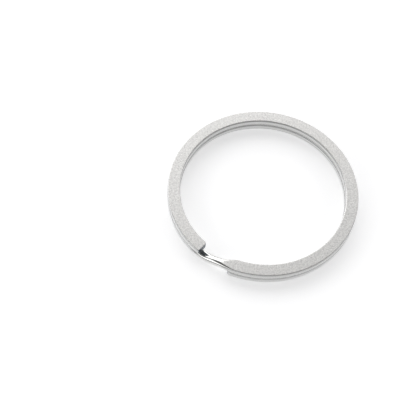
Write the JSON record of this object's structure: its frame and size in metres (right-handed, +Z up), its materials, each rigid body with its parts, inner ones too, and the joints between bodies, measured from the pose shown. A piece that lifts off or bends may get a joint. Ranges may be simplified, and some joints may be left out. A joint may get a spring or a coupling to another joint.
{
  "type": "split key ring",
  "caption": "Flat-wire split ring that holds keys on a coiled spring wire, with a thumbnail end that is prised up to thread a key on.",
  "frame": {"origin": "centre of the ring on the plane it rests on, the underside of its lower layer", "axes": "+Z up along the ring's axis, from the lower layer to the upper; +X and +Y in the ring's plane, with the gap between the free ends towards -X and -Y, about 241 degrees anticlockwise from +X"},
  "size_m": [0.03, 0.03, 0.0022],
  "materials": {
    "rolled_band": "satin nickel-plated spring steel, flat faces matte, walls brighter",
    "round_neck": "bright drawn wire, smooth and glossy"
  },
  "bodies": {
    "crossover": {"crossover": "round_neck"},
    "upper_turn_1": {"upper_turn_1": "rolled_band"},
    "upper_turn_2": {"upper_turn_2": "rolled_band"},
    "upper_turn_3": {"upper_turn_3": "rolled_band"},
    "upper_turn_4": {"upper_turn_4": "rolled_band"},
    "upper_turn_5": {"upper_turn_5": "rolled_band"},
    "upper_turn_6": {"upper_turn_6": "rolled_band"},
    "upper_turn_7": {"upper_turn_7": "rolled_band"},
    "upper_turn_8": {"upper_turn_8": "rolled_band"},
    "upper_end": {"upper_end": "rolled_band"},
    "lower_turn_1": {"lower_turn_1": "rolled_band"},
    "lower_turn_2": {"lower_turn_2": "rolled_band"},
    "lower_turn_3": {"lower_turn_3": "rolled_band"},
    "lower_turn_4": {"lower_turn_4": "rolled_band"},
    "lower_turn_5": {"lower_turn_5": "rolled_band"},
    "lower_turn_6": {"lower_turn_6": "rolled_band"},
    "lower_turn_7": {"lower_turn_7": "rolled_band"},
    "lower_turn_8": {"lower_turn_8": "rolled_band"},
    "lower_end": {"lower_end": "rolled_band"}
  },
  "joints": [
    {"name": "upper_twist_1", "type": "hinge", "parent": "crossover", "child": "upper_turn_1", "pos_m": [-0.00332, -0.0136, 0.00169], "axis": [0.9715, -0.2372, 0], "range_deg": [0, 0.11]},
    {"name": "upper_twist_2", "type": "hinge", "parent": "upper_turn_1", "child": "upper_turn_2", "pos_m": [0.00558, -0.01284, 0.00169], "axis": [0.9173, 0.3983, 0], "range_deg": [0, 0.61]},
    {"name": "upper_twist_3", "type": "hinge", "parent": "upper_turn_2", "child": "upper_turn_3", "pos_m": [0.0122, -0.00686, 0.00169], "axis": [0.4899, 0.8718, 0], "range_deg": [0, 1.32]},
    {"name": "upper_twist_4", "type": "hinge", "parent": "upper_turn_3", "child": "upper_turn_4", "pos_m": [0.01387, 0.00191, 0.00169], "axis": [-0.1367, 0.9906, 0], "range_deg": [0, 1.96]},
    {"name": "upper_opening", "type": "hinge", "parent": "upper_turn_4", "child": "upper_turn_5", "pos_m": [0.00989, 0.00991, 0.00169], "axis": [-0.7077, 0.7065, 0], "range_deg": [0, 2.25], "stiffness_Nm_per_rad": 13},
    {"name": "upper_twist_6", "type": "hinge", "parent": "upper_turn_5", "child": "upper_turn_6", "pos_m": [0.00189, 0.01387, 0.00169], "axis": [-0.9908, 0.135, 0], "range_deg": [0, 2.1]},
    {"name": "upper_twist_7", "type": "hinge", "parent": "upper_turn_6", "child": "upper_turn_7", "pos_m": [-0.00688, 0.01219, 0.00169], "axis": [-0.8709, -0.4914, 0], "range_deg": [0, 1.55]},
    {"name": "upper_twist_8", "type": "hinge", "parent": "upper_turn_7", "child": "upper_turn_8", "pos_m": [-0.01285, 0.00555, 0.00169], "axis": [-0.3968, -0.9179, 0], "range_deg": [0, 0.83]},
    {"name": "upper_twist_9", "type": "hinge", "parent": "upper_turn_8", "child": "upper_end", "pos_m": [-0.01359, -0.00334, 0.00169], "axis": [0.2388, -0.9711, 0], "range_deg": [0, 0.23]},
    {"name": "lower_twist_1", "type": "hinge", "parent": "crossover", "child": "lower_turn_1", "pos_m": [-0.01065, -0.00909, 0.00055], "axis": [-0.649, 0.7608, 0], "range_deg": [0, 0.16]},
    {"name": "lower_twist_2", "type": "hinge", "parent": "lower_turn_1", "child": "lower_turn_2", "pos_m": [-0.01397, -0.00093, 0.00055], "axis": [-0.0667, 0.9978, 0], "range_deg": [0, 0.68]},
    {"name": "lower_twist_3", "type": "hinge", "parent": "lower_turn_2", "child": "lower_turn_3", "pos_m": [-0.01176, 0.00759, 0.00055], "axis": [0.542, 0.8403, 0], "range_deg": [0, 1.37]},
    {"name": "lower_twist_4", "type": "hinge", "parent": "lower_turn_3", "child": "lower_turn_4", "pos_m": [-0.00491, 0.01311, 0.00055], "axis": [0.9365, 0.3507, 0], "range_deg": [0, 1.97]},
    {"name": "lower_opening", "type": "hinge", "parent": "lower_turn_4", "child": "lower_turn_5", "pos_m": [0.00389, 0.01345, 0.00055], "axis": [0.9607, -0.2776, 0], "range_deg": [0, 2.22], "stiffness_Nm_per_rad": 13},
    {"name": "lower_twist_6", "type": "hinge", "parent": "lower_turn_5", "child": "lower_turn_6", "pos_m": [0.01115, 0.00847, 0.00055], "axis": [0.6051, -0.7961, 0], "range_deg": [0, 2.04]},
    {"name": "lower_twist_7", "type": "hinge", "parent": "lower_turn_6", "child": "lower_turn_7", "pos_m": [0.014, 0.00014, 0.00055], "axis": [0.0103, -0.9999, 0], "range_deg": [0, 1.49]},
    {"name": "lower_twist_8", "type": "hinge", "parent": "lower_turn_7", "child": "lower_turn_8", "pos_m": [0.01132, -0.00824, 0.00055], "axis": [-0.5886, -0.8085, 0], "range_deg": [0, 0.8]},
    {"name": "lower_twist_9", "type": "hinge", "parent": "lower_turn_8", "child": "lower_end", "pos_m": [0.00416, -0.01337, 0.00055], "axis": [-0.9548, -0.2974, 0], "range_deg": [0, 0.22]}
  ],
  "couplings": [
    {"joint": "upper_twist_1", "follows": "upper_opening", "ratio": 0.048},
    {"joint": "upper_twist_2", "follows": "upper_opening", "ratio": 0.2696},
    {"joint": "upper_twist_3", "follows": "upper_opening", "ratio": 0.5854},
    {"joint": "upper_twist_4", "follows": "upper_opening", "ratio": 0.8671},
    {"joint": "upper_twist_6", "follows": "upper_opening", "ratio": 0.9301},
    {"joint": "upper_twist_7", "follows": "upper_opening", "ratio": 0.6857},
    {"joint": "upper_twist_8", "follows": "upper_opening", "ratio": 0.3664},
    {"joint": "upper_twist_9", "follows": "upper_opening", "ratio": 0.102},
    {"joint": "lower_twist_1", "follows": "lower_opening", "ratio": 0.0678},
    {"joint": "lower_twist_2", "follows": "lower_opening", "ratio": 0.3035},
    {"joint": "lower_twist_3", "follows": "lower_opening", "ratio": 0.617},
    {"joint": "lower_twist_4", "follows": "lower_opening", "ratio": 0.8844},
    {"joint": "lower_twist_6", "follows": "lower_opening", "ratio": 0.9181},
    {"joint": "lower_twist_7", "follows": "lower_opening", "ratio": 0.671},
    {"joint": "lower_twist_8", "follows": "lower_opening", "ratio": 0.3565},
    {"joint": "lower_twist_9", "follows": "lower_opening", "ratio": 0.0989}
  ]
}
